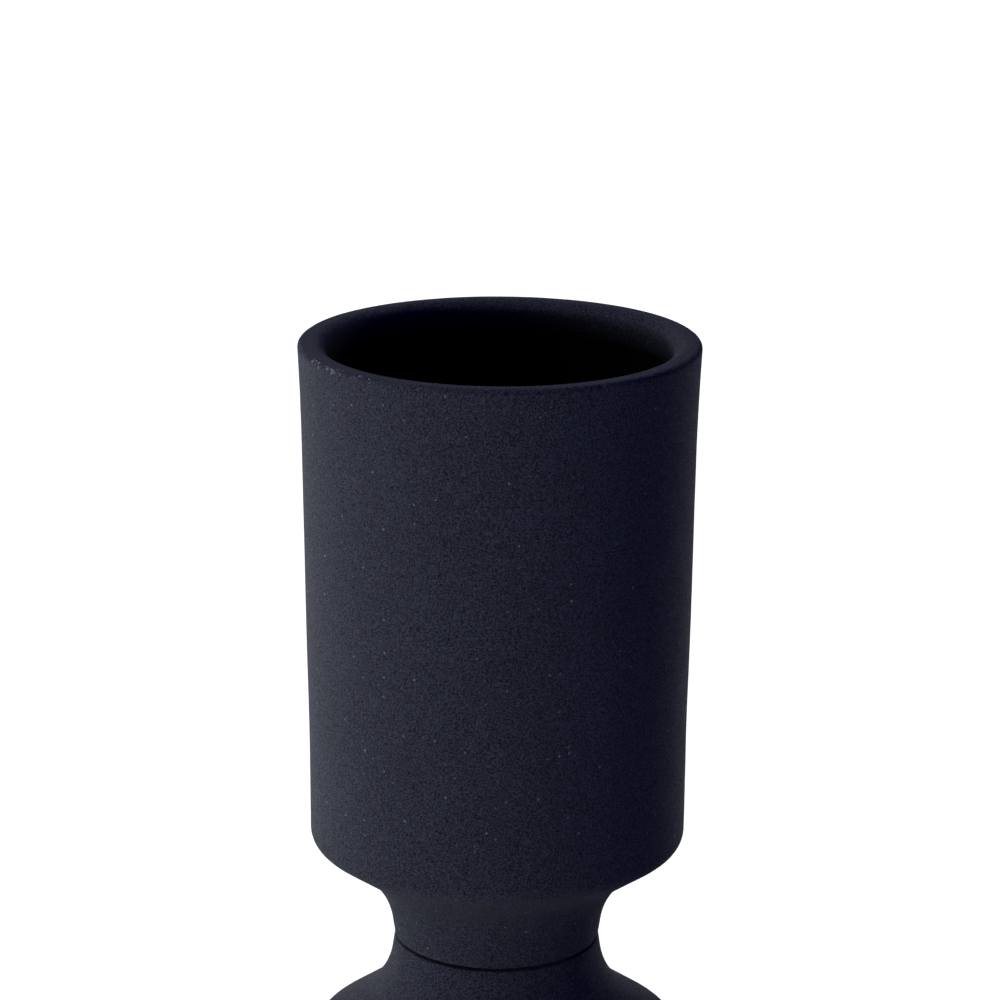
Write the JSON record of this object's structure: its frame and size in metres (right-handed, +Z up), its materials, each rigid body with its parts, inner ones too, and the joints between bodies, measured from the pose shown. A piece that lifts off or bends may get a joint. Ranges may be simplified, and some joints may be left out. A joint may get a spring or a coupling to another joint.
{
  "type": "empty candle jar",
  "caption": "Matte black stoneware candle jar with a flared lip and a narrow foot, standing on a hollow pedestal base that mirrors its underside.",
  "frame": {"origin": "centre of the table contact, under the base, level with the underside of the felt pads", "axes": "+Z up along the turning axis, out of the jar's mouth; the picture's camera stands on the -Y side"},
  "size_m": [0.0842, 0.0842, 0.1775],
  "materials": {
    "stoneware": "matte, sand-textured, unglazed",
    "silicone": "matte",
    "felt": "pressed wool felt"
  },
  "bodies": {
    "base": {"base": "stoneware", "felt_pad_1": "felt", "felt_pad_2": "felt", "felt_pad_3": "felt", "felt_pad_4": "felt"},
    "seat": {"seat_ring": "silicone"},
    "jar": {"jar": "stoneware"}
  },
  "joints": [
    {"name": "jar_turn", "type": "hinge", "parent": "base", "child": "seat", "pos_m": [0, 0, 0.045], "axis": [0, 0, 1], "continuous": true},
    {"name": "jar_lift", "type": "slide", "parent": "seat", "child": "jar", "axis": [0, 0, 1], "range_m": [0, 0.06]}
  ]
}
